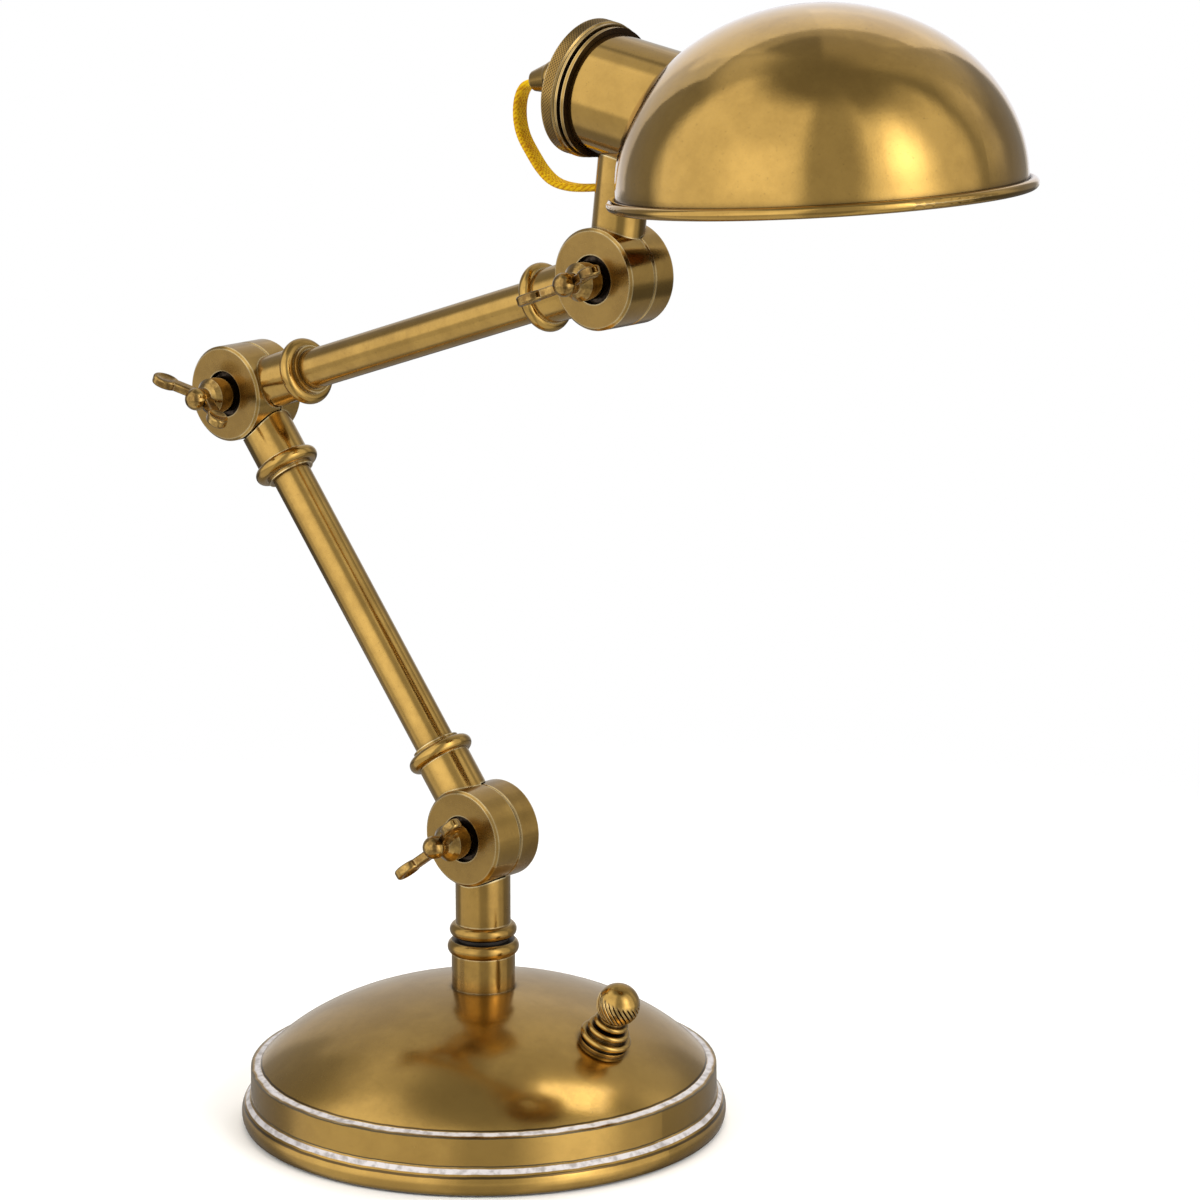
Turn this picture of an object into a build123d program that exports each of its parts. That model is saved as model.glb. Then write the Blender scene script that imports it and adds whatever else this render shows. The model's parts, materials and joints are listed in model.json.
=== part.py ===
from build123d import *
import math
import os

os.makedirs("parts", exist_ok=True)

# Fits: millimetres between faces that turn, pass or seat on each other
running_gap = 0.05
curve_gap = 0.3
face_gap = 0.1

# Base shell
base_radius = 76.2
flange_bulge = 0.7
flange_height = 6.5
lower_ledge_rise = 2.5
band_radius = 73.3
band_draft = 0.15
band_top = 18.0
crown_edge_radius = 70.2
crown_edge_height = 18.7
crown_spread = 79.5
crown_top = 43.2
shell_wall = 1.5
shell_lift = 0.8

# Ballast, bottom plate and felt
felt_thickness = 2.0
felt_inset = 0.6
plate_thickness = 1.5
screw_count = 3
screw_circle_radius = 50.0
screw_first_angle = 60.0
screw_radius = 2.0
screw_head_radius = 3.6
screw_length = 9.0

# Cord bush: a grommet snapped into the back of the band
cord_bush_radius = 2.6
cord_bush_height = 12.9
cord_flange_radius = 3.8
cord_flange = 1.6
cord_lock_radius = 3.4
cord_lock = 1.8
cord_recess_radius = 1.9
cord_recess_depth = 3.5

# Stem post, its clamping nipple and the swivel
post_radius = 9.95
post_seat_margin = 0.5
post_bead_radius = 11.2
post_bead_middle = 56.0
bead_height = 4.4
nipple_radius = 5.0
nipple_bore_radius = 3.5
nipple_grip = 5.5
stem_nut_radius = 9.2
stem_nut_height = 6.0
stem_washer_radius = 12.0
stem_washer_thickness = 1.5
nut_recess_depth = 8.0
stem_neck_radius = 8.6
stem_bead_radius = 10.5
spigot_radius = 6.0
spigot_length = 9.0
swivel_washer_radius = 8.0
swivel_washer_thickness = 1.0

# Knuckles: two half drums on one cross axis
drum_radius = 15.2
drum_front = 10.0
drum_back = 10.0
seam_offset = 1.0
drum_chamfer = 0.8
seam_chamfer = 0.4
face_recess_radius = 7.3
face_recess_depth = 2.5
pivot_radius = 3.0
pivot_head_radius = 5.5
pivot_head_depth = 4.0
pivot_head_sink = 0.2
pivot_slot_width = 1.2
pivot_slot_depth = 1.2
disc_radius = 11.0
disc_thickness = 1.6
nut_washer_radius = 6.8
nut_washer_thickness = 1.0

# Collars, beads and arm tubes
collar_radius = 8.4
collar_length = 26.2
bead_radius = 10.6
lip_radius = 7.6
lip_length = 1.2
socket_start = 17.0
tube_radius = 6.3
tube_wall = 1.5
lead_bush_length = 10.0
arm_lead_radius = 1.7

# Arm pose: leans from the vertical, positive towards the shade
base_knuckle_height = 92.45
arm_length = 163.0
lower_arm_lean = -38.2
upper_arm_lean = 71.4

# Wing nuts: distances forward are counted from the drum's front face
hub_radius = 5.7
hub_shoulder = 6.2
hub_front_radius = 4.4
hub_front = 7.6
ball_neck_radius = 3.1
ball_neck_start = 8.6
ball_radius = 3.6
ball_forward = 12.2
stud_forward = 5.0
ear_root_forward = 8.2
ear_neck_width = 3.6
ear_reach = 16.6
ear_forward = 14.4
paddle_half_length = 4.3
paddle_half_width = 3.2
ear_thickness = 3.0
ear_edge = 0.8
dish_radius = 6.0
dish_depth = 0.7
base_ear_angle = 42.0
elbow_ear_angle = -22.0
head_ear_angle = 23.0

# Head: angles and places in the shade's own frame, from the head knuckle
head_tilt = 4.56
head_post_radius = 8.0
head_post_lean = 11.4
head_post_wall = 1.7
head_post_bore_start = 20.0
shade_reach = 79.7
rim_height = 23.4
socket_axis_height = 11.1
neck_slope = 14.0

# Shade
shade_radius = 58.6
shade_band = 4.9
shade_rise = 50.4
shade_wall = 1.2
rim_bead_radius = 1.7
rim_bead_offset = 1.0

# Socket neck and ringed cap: distances back are counted along the neck from the shade's axis
neck_radius = 17.7
neck_wall = 1.5
neck_front = 46.0
cap_front = 80.3
cap_ring_radius = 19.4
cap_ring_width = 1.3
cap_groove_radius = 18.4
cap_groove_width = 0.9
cap_bezel_radius = 20.0
cap_bezel_width = 0.9
cap_line_depth = 0.4
cap_line_width = 0.3
cap_rim_radius = 20.4
cap_rim_width = 5.0
cap_rim_round = 0.5
cap_overlap = 3.2
cap_back_radius = 17.0
cap_back_depth = 1.5
cap_wall = 1.6
lead_bush_radius = 5.2
lead_bush_hub = 9.8
lead_bush_cone = 8.9
lead_bush_tip_radius = 3.1
lead_bush_droop = 21.0
lead_bush_spigot_radius = 4.0
lead_bush_spigot = 3.0
lead_bush_grip = 5.0

# Lamp socket and bulb
socket_radius = 13.6
socket_flange_radius = 16.0
socket_flange = 3.0
socket_ring_radius = 17.0
socket_ring_width = 3.0
bulb_cap_radius = 6.8
bulb_cap_length = 19.0
bulb_radius = 12.5
bulb_neck_radius = 7.0
bulb_length = 57.0
bulb_taper = 8.0
bulb_seat_depth = 18.0

# Yellow lead: flat twin lead, its route from the lead bush to the back of the head post in the shade's own frame
lead_width = 5.2
lead_thickness = 2.2
lead_route = [
    (-28.4, 57.3),
    (-31.3, 55.1),
    (-33.0, 51.3),
    (-33.5, 46.3),
    (-32.4, 41.2),
    (-29.2, 36.2),
    (-25.6, 31.2),
    (-21.2, 27.6),
    (-15.0, 26.1),
    (-8.2, 25.9),
]
lead_entry_height = 26.3
lead_entry_depth = 1.5

# Switch on the crown: distances out are counted along its axis from the crown's face
switch_angle = 2.0
switch_place_radius = 48.0
switch_body_radius = 9.0
switch_body_depth = 11.0
switch_body_gap = 0.7
switch_thread_radius = 4.0
switch_thread_end = 5.7
switch_shaft_radius = 3.0
switch_washer_radius = 7.6
switch_washer_end = 0.9
switch_foot_radius = 6.7
switch_ring_radius = 8.1
switch_ring_start = 1.7
switch_ring_end = 3.8
switch_groove_radius = 5.9
switch_groove_end = 4.6
switch_cap_radius = 6.7
switch_cap_end = 6.4
knob_collar_radius = 5.5
knob_collar_start = 7.0
knob_collar_end = 8.9
knob_neck_radius = 4.2
knob_ball_radius = 6.7
knob_ball_out = 14.8


# Profile helpers: every profile is drawn in the XZ plane and turned about Z
def line(*points):
    return Polyline(*[(x, 0, z) for x, z in points])


def arc(start, middle, end):
    return ThreePointArc((start[0], 0, start[1]), (middle[0], 0, middle[1]), (end[0], 0, end[1]))


def dome_arc(spread, rise, centre_height, outer_radius, inner_radius):
    plane = Plane((0, 0, centre_height), x_dir=(1, 0, 0), z_dir=(0, -1, 0))
    first = math.degrees(math.acos(outer_radius / spread))
    last = math.degrees(math.acos(inner_radius / spread))
    return Edge.make_ellipse(spread, rise, plane, first, last)


def turned(*edges):
    return revolve(make_face(edges), Axis.Z)


def disc(radius, low, high, bore=0.0):
    solid = Pos(0, 0, (low + high) / 2) * Cylinder(radius, high - low)
    if bore > 0:
        solid -= Pos(0, 0, (low + high) / 2) * Cylinder(bore, high - low)
    return solid


def cross_disc(radius, front, back):
    return Pos(0, (front + back) / 2, 0) * Rot(90, 0, 0) * Cylinder(radius, back - front)


def round_edge(radius, low, high):
    half = (high - low) / 2
    return arc((radius - half, low), (radius, low + half), (radius - half, high))


def bead(cylinder_radius, crest_radius, low):
    return arc(
        (cylinder_radius, low),
        (crest_radius, low + bead_height / 2),
        (cylinder_radius, low + bead_height),
    )


def save(node, solid):
    if isinstance(solid, (list, tuple)):
        solid = Compound(children=list(solid))
    export_step(solid, f"parts/{node}.step")


# Knuckle places in the arm plane
def reach_from(start, lean, length):
    angle = math.radians(lean)
    return (start[0] + length * math.sin(angle), 0, start[2] + length * math.cos(angle))


base_knuckle = (0, 0, base_knuckle_height)
elbow = reach_from(base_knuckle, lower_arm_lean, arm_length)
head_knuckle = reach_from(elbow, upper_arm_lean, arm_length)

lower_arm_frame = Pos(*base_knuckle) * Rot(0, lower_arm_lean, 0)
upper_arm_frame = Pos(*elbow) * Rot(0, upper_arm_lean, 0)
lower_arm_end_frame = Pos(*elbow) * Rot(0, lower_arm_lean + 180, 0)
upper_arm_end_frame = Pos(*head_knuckle) * Rot(0, upper_arm_lean + 180, 0)
head_frame = Pos(*head_knuckle) * Rot(0, -head_tilt, 0)
shade_frame = head_frame * Pos(shade_reach, 0, rim_height)
neck_frame = shade_frame * Pos(0, 0, socket_axis_height) * Rot(0, neck_slope - 90, 0)
head_post_frame = head_frame * Rot(0, head_post_lean, 0)

# Crown of the base shell: part of an ellipse that meets the upper ledge
crown_share = math.sqrt(1 - (crown_edge_radius / crown_spread) ** 2)
crown_rise = (crown_top - crown_edge_height) / (1 - crown_share)
crown_centre = crown_top - crown_rise


def crown_height(radius, inset=0.0):
    share = math.sqrt(1 - (radius / (crown_spread - inset)) ** 2)
    return crown_centre + (crown_rise - inset) * share


def crown_radius_at(height, inset=0.0):
    share = (height - crown_centre) / (crown_rise - inset)
    return (crown_spread - inset) * math.sqrt(1 - share ** 2)


post_seat_radius = post_radius + post_seat_margin
post_seat_height = crown_height(post_seat_radius)
nipple_hole_radius = nipple_radius + running_gap
inner_band_radius = band_radius - band_draft - shell_wall
inner_flange_radius = base_radius - flange_bulge - shell_wall
inner_crown_radius = crown_edge_radius - shell_wall
ledge_underside = band_top - shell_wall

# Switch axis: square to the crown at its place
switch_slope = math.degrees(
    math.atan(
        crown_rise * switch_place_radius
        / (crown_spread ** 2 * math.sqrt(1 - (switch_place_radius / crown_spread) ** 2))
    )
)
switch_frame = (
    Rot(0, 0, switch_angle)
    * Pos(switch_place_radius, 0, crown_height(switch_place_radius))
    * Rot(0, switch_slope, 0)
)
switch_body_top = -(shell_wall + switch_body_gap)
switch_body_bottom = switch_body_top - switch_body_depth
switch_hole_radius = switch_thread_radius + running_gap

# Cord bush axis: level, through the band at the back
cord_frame = Pos(0, 0, cord_bush_height) * Rot(0, -90, 0)
cord_seat = band_radius
cord_lock_outer = inner_band_radius - curve_gap
cord_bush_inner = cord_lock_outer - cord_lock
cord_hole_radius = cord_bush_radius + running_gap
cord_bush_outer = cord_seat + cord_flange


# Base shell: flange, ledge, band, upper ledge and crown, hollow below
def make_base_shell():
    flange_edge = base_radius - flange_bulge
    lower_step = flange_height + lower_ledge_rise
    inner_seat_radius = crown_radius_at(post_seat_height - shell_wall, shell_wall)
    shell = turned(
        line((inner_flange_radius, shell_lift), (flange_edge, shell_lift)),
        arc(
            (flange_edge, shell_lift),
            (base_radius, (shell_lift + flange_height) / 2),
            (flange_edge, flange_height),
        ),
        line(
            (flange_edge, flange_height),
            (band_radius, lower_step),
            (band_radius - band_draft, band_top),
            (crown_edge_radius, crown_edge_height),
        ),
        dome_arc(crown_spread, crown_rise, crown_centre, crown_edge_radius, post_seat_radius),
        line(
            (post_seat_radius, post_seat_height),
            (nipple_hole_radius, post_seat_height),
            (nipple_hole_radius, post_seat_height - shell_wall),
            (inner_seat_radius, post_seat_height - shell_wall),
        ),
        dome_arc(
            crown_spread - shell_wall,
            crown_rise - shell_wall,
            crown_centre,
            inner_crown_radius,
            inner_seat_radius,
        ),
        line(
            (inner_crown_radius, crown_height(inner_crown_radius, shell_wall)),
            (inner_crown_radius, ledge_underside),
            (inner_band_radius, ledge_underside),
            (inner_band_radius, lower_step - shell_wall),
            (inner_flange_radius, flange_height - shell_wall),
            (inner_flange_radius, shell_lift),
        ),
    )
    shell -= switch_frame * disc(switch_hole_radius, switch_body_top, switch_washer_end)
    shell -= cord_frame * disc(cord_hole_radius, cord_bush_inner, cord_bush_outer)
    return shell


# Ballast: iron disc between the bottom plate and the upper ledge
plate_low = felt_thickness
plate_high = felt_thickness + plate_thickness
plate_radius = inner_flange_radius - curve_gap
weight_radius = min(inner_flange_radius, inner_band_radius) - curve_gap
nut_recess_top = plate_high + nut_recess_depth
screw_places = PolarLocations(screw_circle_radius, screw_count, screw_first_angle)


def make_base_weight():
    weight = disc(weight_radius, plate_high, ledge_underside, nipple_radius + curve_gap)
    weight -= disc(stem_washer_radius + curve_gap, plate_high, nut_recess_top)
    weight -= switch_frame * disc(
        switch_body_radius + curve_gap, switch_body_bottom - curve_gap, switch_body_top
    )
    weight -= cord_frame * disc(
        cord_lock_radius + 2 * curve_gap, cord_bush_inner - curve_gap, cord_bush_outer
    )
    for place in screw_places:
        weight -= place * disc(screw_radius + running_gap, plate_high, plate_low + screw_length)
    return weight


def make_base_plate():
    plate = disc(plate_radius, plate_low, plate_high)
    for place in screw_places:
        plate -= place * disc(screw_radius + running_gap, plate_low, plate_high)
        plate -= place * Pos(0, 0, (plate_low + plate_high) / 2) * Cone(
            screw_head_radius + running_gap, screw_radius + running_gap, plate_thickness
        )
    return plate


def make_plate_screws():
    head = Pos(0, 0, (plate_low + plate_high) / 2) * Cone(
        screw_head_radius, screw_radius, plate_thickness
    )
    screw = head + disc(screw_radius, plate_low, plate_low + screw_length)
    return [place * screw for place in screw_places]


# Cord bush: flanged on both sides of the wall, with a blind recess for the missing mains cord
def make_cord_bush():
    bush = disc(cord_bush_radius, cord_bush_inner, cord_seat)
    bush += disc(cord_flange_radius, cord_seat, cord_bush_outer)
    bush += disc(cord_lock_radius, cord_bush_inner, cord_lock_outer)
    bush -= disc(cord_recess_radius, cord_bush_outer - cord_recess_depth, cord_bush_outer)
    return cord_frame * bush


# Stem: post clamped to the crown, nipple, nut, washers
post_top = post_bead_middle + bead_height / 2
neck_bottom = post_top + swivel_washer_thickness + face_gap
spigot_bottom = neck_bottom - spigot_length
nipple_top = post_seat_height + nipple_grip
nipple_bottom = nut_recess_top - stem_washer_thickness - stem_nut_height


def make_stem_post():
    bore = spigot_radius + running_gap
    return turned(
        line(
            (nipple_hole_radius, post_seat_height),
            (post_radius, post_seat_height),
            (post_radius, post_top - bead_height),
        ),
        bead(post_radius, post_bead_radius, post_top - bead_height),
        line(
            (post_radius, post_top),
            (bore, post_top),
            (bore, nipple_top),
            (nipple_hole_radius, nipple_top),
            (nipple_hole_radius, post_seat_height),
        ),
    )


def make_stem_nut():
    nut = Pos(0, 0, nipple_bottom) * extrude(
        RegularPolygon(stem_nut_radius, 6), stem_nut_height
    )
    return nut - disc(nipple_radius + running_gap, nipple_bottom, nut_recess_top)


# Knuckle halves: the front half carries the limb away from the base, the back half the limb near it
seam_front = seam_offset - face_gap
seam_back = seam_offset + face_gap
disc_recess = disc_thickness - face_gap
pivot_hole_radius = pivot_radius + running_gap
head_floor = drum_back - pivot_head_depth - pivot_head_sink
passing_radius = drum_radius + curve_gap
far_side = drum_front + drum_back


def front_half(limb):
    drum = cross_disc(drum_radius, -drum_front, seam_front)
    drum = chamfer(drum.faces().sort_by(Axis.Y)[0].edges(), drum_chamfer)
    drum = chamfer(drum.faces().sort_by(Axis.Y)[-1].edges(), seam_chamfer)
    half = drum + (limb - cross_disc(passing_radius, seam_front, far_side))
    half -= cross_disc(pivot_hole_radius, -drum_front, seam_front)
    half -= cross_disc(face_recess_radius, -drum_front, face_recess_depth - drum_front)
    return half


def back_half(limb):
    drum = cross_disc(drum_radius, seam_back, drum_back)
    drum = chamfer(drum.faces().sort_by(Axis.Y)[-1].edges(), drum_chamfer)
    drum = chamfer(drum.faces().sort_by(Axis.Y)[0].edges(), seam_chamfer)
    half = drum + (limb - cross_disc(passing_radius, -far_side, seam_back))
    half -= cross_disc(pivot_hole_radius, seam_back, drum_back)
    half -= cross_disc(pivot_head_radius + curve_gap, head_floor, drum_back)
    half -= cross_disc(disc_radius + running_gap, seam_back, seam_back + disc_recess)
    return half


def make_pivot_screw():
    screw = cross_disc(pivot_radius, -drum_front - stud_forward, head_floor)
    head_end = head_floor + pivot_head_depth
    screw += cross_disc(pivot_head_radius, head_floor, head_end)
    slot = Box(pivot_head_radius * 2, pivot_slot_depth, pivot_slot_width)
    return screw - Pos(0, head_end - pivot_slot_depth / 2, 0) * slot


def make_friction_disc():
    friction_disc = cross_disc(disc_radius, seam_back + disc_recess - disc_thickness, seam_back + disc_recess)
    return friction_disc - cross_disc(pivot_hole_radius, -drum_front, drum_back)


washer_front = face_recess_depth - drum_front - nut_washer_thickness


def make_nut_washer():
    washer = cross_disc(nut_washer_radius, washer_front, washer_front + nut_washer_thickness)
    return washer - cross_disc(pivot_radius + curve_gap, -drum_front, 0)


# Collar with its bead ring, bored for the arm tube; the limb points along Z
collar_end = collar_length + bead_height + lip_length


def make_collar():
    bore = tube_radius + running_gap
    return turned(
        line((0, pivot_radius), (collar_radius, pivot_radius), (collar_radius, collar_length)),
        bead(collar_radius, bead_radius, collar_length),
        line(
            (collar_radius, collar_length + bead_height),
            (lip_radius, collar_length + bead_height),
            (lip_radius, collar_end),
            (bore, collar_end),
            (bore, socket_start),
            (0, socket_start),
            (0, pivot_radius),
        ),
    )


def make_arm_tube():
    return disc(tube_radius, socket_start, arm_length - socket_start, tube_radius - tube_wall)


bush_bore = tube_radius - tube_wall - running_gap
tube_end = arm_length - socket_start


def make_lead_bushes():
    bush = disc(bush_bore, socket_start, socket_start + lead_bush_length, arm_lead_radius + running_gap)
    return [bush, Pos(0, 0, tube_end - socket_start - lead_bush_length) * bush]


def make_arm_lead():
    return disc(arm_lead_radius, socket_start + face_gap, tube_end - face_gap)


# Stem neck: spigot, bead and neck under the back half of the base knuckle
def make_stem_neck():
    neck = turned(
        line(
            (nipple_bore_radius, spigot_bottom),
            (spigot_radius, spigot_bottom),
            (spigot_radius, neck_bottom),
            (stem_neck_radius, neck_bottom),
        ),
        bead(stem_neck_radius, stem_bead_radius, neck_bottom),
        line(
            (stem_neck_radius, neck_bottom + bead_height),
            (stem_neck_radius, base_knuckle_height - pivot_radius),
            (0, base_knuckle_height - pivot_radius),
            (0, base_knuckle_height - socket_start),
            (nipple_bore_radius, base_knuckle_height - socket_start),
            (nipple_bore_radius, spigot_bottom),
        ),
    )
    return Pos(*base_knuckle) * back_half(Pos(0, 0, -base_knuckle_height) * neck)


# Wing nut: round hub and ball, with two dished ears swept forward
def make_wing_nut(ear_angle):
    hub_start = drum_front - face_recess_depth + nut_washer_thickness + face_gap
    stud_room = drum_front + stud_forward + curve_gap
    bore = pivot_radius + running_gap
    ball_middle = drum_front + ball_forward
    ball_drop = math.sqrt(ball_radius ** 2 - ball_neck_radius ** 2)
    profile = turned(
        line(
            (bore, hub_start),
            (hub_radius, hub_start),
            (hub_radius, drum_front + hub_shoulder),
            (hub_front_radius, drum_front + hub_front),
            (ball_neck_radius, drum_front + ball_neck_start),
            (ball_neck_radius, ball_middle - ball_drop),
        ),
        arc(
            (ball_neck_radius, ball_middle - ball_drop),
            (ball_radius, ball_middle),
            (0, ball_middle + ball_radius),
        ),
        line(
            (0, ball_middle + ball_radius),
            (0, stud_room),
            (bore, stud_room),
            (bore, hub_start),
        ),
    )
    root = Vector(0, drum_front + ear_root_forward)
    tip = Vector(ear_reach - paddle_half_length, drum_front + ear_forward)
    along = tip - root
    slant = math.degrees(math.atan2(along.Y, along.X))
    neck = Pos((root.X + tip.X) / 2, (root.Y + tip.Y) / 2) * Rot(0, 0, slant) * Rectangle(
        along.length, ear_neck_width
    )
    paddle = Pos(tip.X, tip.Y) * Rot(0, 0, slant) * Ellipse(paddle_half_length, paddle_half_width)
    ear = extrude(neck + paddle, ear_thickness / 2, both=True)
    ear = fillet(
        ear.faces().sort_by(Axis.Z)[0].edges() + ear.faces().sort_by(Axis.Z)[-1].edges(), ear_edge
    )
    dish_middle = ear_thickness / 2 - dish_depth + dish_radius
    for side in (dish_middle, -dish_middle):
        ear -= Pos(tip.X, tip.Y, side) * Sphere(dish_radius)
    ear = Rot(90, 0, 0) * ear
    nut = profile + (ear + mirror(ear, Plane.YZ) - disc(ball_neck_radius, 0, stud_room))
    return Rot(0, -ear_angle, 0) * Rot(90, 0, 0) * nut


# Head post: rises from the front half of the head knuckle to the socket neck
neck_blank = neck_frame * disc(neck_radius + running_gap, 0, cap_front)


def make_head_post():
    neck_at_post = head_post_frame.inverse() * neck_blank
    length = rim_height + socket_axis_height + shade_reach * math.tan(math.radians(neck_slope))
    post = disc(head_post_radius, pivot_radius, length) - neck_at_post
    post -= disc(head_post_radius - head_post_wall, head_post_bore_start, length)
    lead_hole = extrude(
        Plane((-head_post_radius * 2, 0, lead_entry_height), x_dir=(0, 1, 0), z_dir=(1, 0, 0))
        * SlotOverall(lead_width + 2 * curve_gap, lead_thickness + 2 * curve_gap),
        head_post_radius * 2,
    )
    post -= Rot(0, -head_post_lean, 0) * lead_hole
    return head_post_frame * front_half(post)


# Shade: hollow dome opened at the side for the neck, and the rolled rim round its mouth
def shade_dome(inset):
    radius = shade_radius - inset
    top = shade_band + shade_rise - inset
    return turned(
        line((0, 0), (radius, 0), (radius, shade_band)),
        dome_arc(radius, shade_rise - inset, shade_band, radius, 0),
        line((0, top), (0, 0)),
    )


def make_shade():
    return shade_frame * (shade_dome(0) - shade_dome(shade_wall)) - neck_blank


def make_shade_rim():
    rim = Pos(0, 0, rim_bead_radius) * Torus(shade_radius + rim_bead_offset, rim_bead_radius)
    return shade_frame * (rim - disc(shade_radius + running_gap, 0, 2 * rim_bead_radius))


def make_socket_neck():
    return neck_frame * disc(neck_radius, neck_front, cap_front + cap_overlap, neck_radius - neck_wall)


# Ringed cap: screws over the back of the neck and carries the lead bush
cap_floor = cap_front + cap_overlap
groove_start = cap_front + cap_ring_width
bezel_start = groove_start + cap_groove_width
bezel_end = bezel_start + cap_bezel_width
cap_rim_start = bezel_end + cap_line_width
cap_rim_end = cap_rim_start + cap_rim_width
cap_back_end = cap_rim_end + cap_back_depth
spigot_bore = lead_bush_spigot_radius + running_gap


def make_socket_cap():
    bore = neck_radius + running_gap
    hollow = neck_radius - neck_wall
    cap = turned(
        line(
            (bore, cap_front),
            (cap_ring_radius, cap_front),
            (cap_ring_radius, groove_start),
            (cap_groove_radius, groove_start),
            (cap_groove_radius, bezel_start),
            (cap_bezel_radius, bezel_start),
            (cap_bezel_radius, bezel_end),
            (cap_bezel_radius - cap_line_depth, bezel_end),
            (cap_bezel_radius - cap_line_depth, cap_rim_start),
            (cap_rim_radius - cap_rim_round, cap_rim_start),
            (cap_rim_radius, cap_rim_start + cap_rim_round),
            (cap_rim_radius, cap_rim_end - cap_rim_round),
            (cap_rim_radius - cap_rim_round, cap_rim_end),
            (cap_back_radius, cap_back_end),
            (spigot_bore, cap_back_end),
            (spigot_bore, cap_back_end - cap_wall),
            (hollow, cap_back_end - cap_wall),
            (hollow, cap_floor),
            (bore, cap_floor),
            (bore, cap_front),
        )
    )
    return neck_frame * cap


# Lead bush: round hub on the cap's back, then a drooping cone that grips the yellow lead
cone_frame = neck_frame * Pos(0, 0, cap_back_end + lead_bush_hub) * Rot(0, -lead_bush_droop, 0)


def make_lead_bush():
    hub_end = cap_back_end + lead_bush_hub
    bush = disc(lead_bush_spigot_radius, cap_back_end - lead_bush_spigot, cap_back_end)
    bush += disc(lead_bush_radius, cap_back_end, hub_end)
    bush += Pos(0, 0, hub_end) * Sphere(lead_bush_radius)
    bush = neck_frame * bush
    bush += cone_frame * Pos(0, 0, lead_bush_cone / 2) * Cone(
        lead_bush_radius, lead_bush_tip_radius, lead_bush_cone
    )
    slot = extrude(
        Plane((0, 0, lead_bush_cone - lead_bush_grip), x_dir=(0, 1, 0), z_dir=(0, 0, 1))
        * SlotOverall(lead_width + 2 * face_gap, lead_thickness + 2 * face_gap),
        lead_bush_grip,
    )
    return bush - cone_frame * slot


# Lamp socket, its ring and the bulb, all on the neck's axis
socket_back = cap_floor
socket_front = neck_front - socket_ring_width
bulb_back = socket_front + bulb_seat_depth
bulb_glass_back = bulb_back - bulb_cap_length
bulb_tip = bulb_back - bulb_length


def make_lamp_socket():
    socket = disc(socket_radius, socket_front, socket_back)
    socket += disc(socket_flange_radius, socket_back - socket_flange, socket_back)
    socket -= disc(bulb_cap_radius + curve_gap, socket_front, bulb_back)
    return neck_frame * socket


def make_socket_ring():
    return neck_frame * disc(socket_ring_radius, socket_front, neck_front, socket_radius + running_gap)


def make_bulb_cap():
    return neck_frame * disc(bulb_cap_radius, bulb_glass_back, bulb_back)


def make_bulb_glass():
    shoulder = bulb_glass_back - bulb_taper
    round_start = bulb_tip + bulb_radius
    glass = turned(
        line(
            (0, bulb_glass_back),
            (bulb_neck_radius, bulb_glass_back),
            (bulb_radius, shoulder),
            (bulb_radius, round_start),
        ),
        arc(
            (bulb_radius, round_start),
            (bulb_radius * math.sqrt(0.5), round_start - bulb_radius * math.sqrt(0.5)),
            (0, bulb_tip),
        ),
        line((0, bulb_tip), (0, bulb_glass_back)),
    )
    return neck_frame * glass


# Yellow lead: straight runs joined by arcs as large as the runs allow
def make_head_lead():
    grip_place = cone_frame * Pos(0, 0, lead_bush_cone - lead_bush_grip)
    start = (head_frame.inverse() * grip_place).position
    lean = math.radians(head_post_lean)
    back_of_post = lead_entry_height * math.tan(lean) - head_post_radius / math.cos(lean)
    entry_point = (back_of_post + lead_entry_depth, lead_entry_height)
    points = [start, *[Vector(x, 0, z) for x, z in [*lead_route, entry_point]]]
    runs = [end - begin for begin, end in zip(points, points[1:])]
    radii = []
    for before, after in zip(runs, runs[1:]):
        half_turn = math.radians(before.get_angle(after)) / 2
        radii.append(0.45 * min(before.length, after.length) / math.tan(half_turn))
    path = FilletPolyline(*points, radius=radii)
    section = Plane(start, x_dir=(0, 1, 0), z_dir=runs[0]) * SlotOverall(lead_width, lead_thickness)
    lead = sweep(section, path=path)
    expected = section.area * path.length
    print("lead start", start, "entry", entry_point)
    print("lead radii", [round(radius, 1) for radius in radii])
    print("lead length", round(path.length, 1), "volume", round(lead.volume, 1), "of", round(expected, 1))
    return head_frame * lead


# Switch: body under the crown, washer and ringed nut outside, turning knob on its shaft
crown_blank = turned(
    line(
        (0, 0),
        (crown_edge_radius, 0),
        (crown_edge_radius, crown_height(crown_edge_radius, -running_gap)),
    ),
    dome_arc(
        crown_spread + running_gap, crown_rise + running_gap, crown_centre, crown_edge_radius, 0
    ),
    line((0, crown_top + running_gap), (0, 0)),
)


def make_switch_body():
    body = disc(switch_body_radius, switch_body_bottom, switch_body_top)
    body += disc(switch_thread_radius, switch_body_top, switch_thread_end)
    body -= disc(switch_shaft_radius + running_gap, switch_body_top, switch_thread_end)
    return switch_frame * body


def make_switch_washer():
    washer = disc(
        switch_washer_radius, switch_body_top, switch_washer_end, switch_thread_radius + running_gap
    )
    return switch_frame * washer - crown_blank


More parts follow.
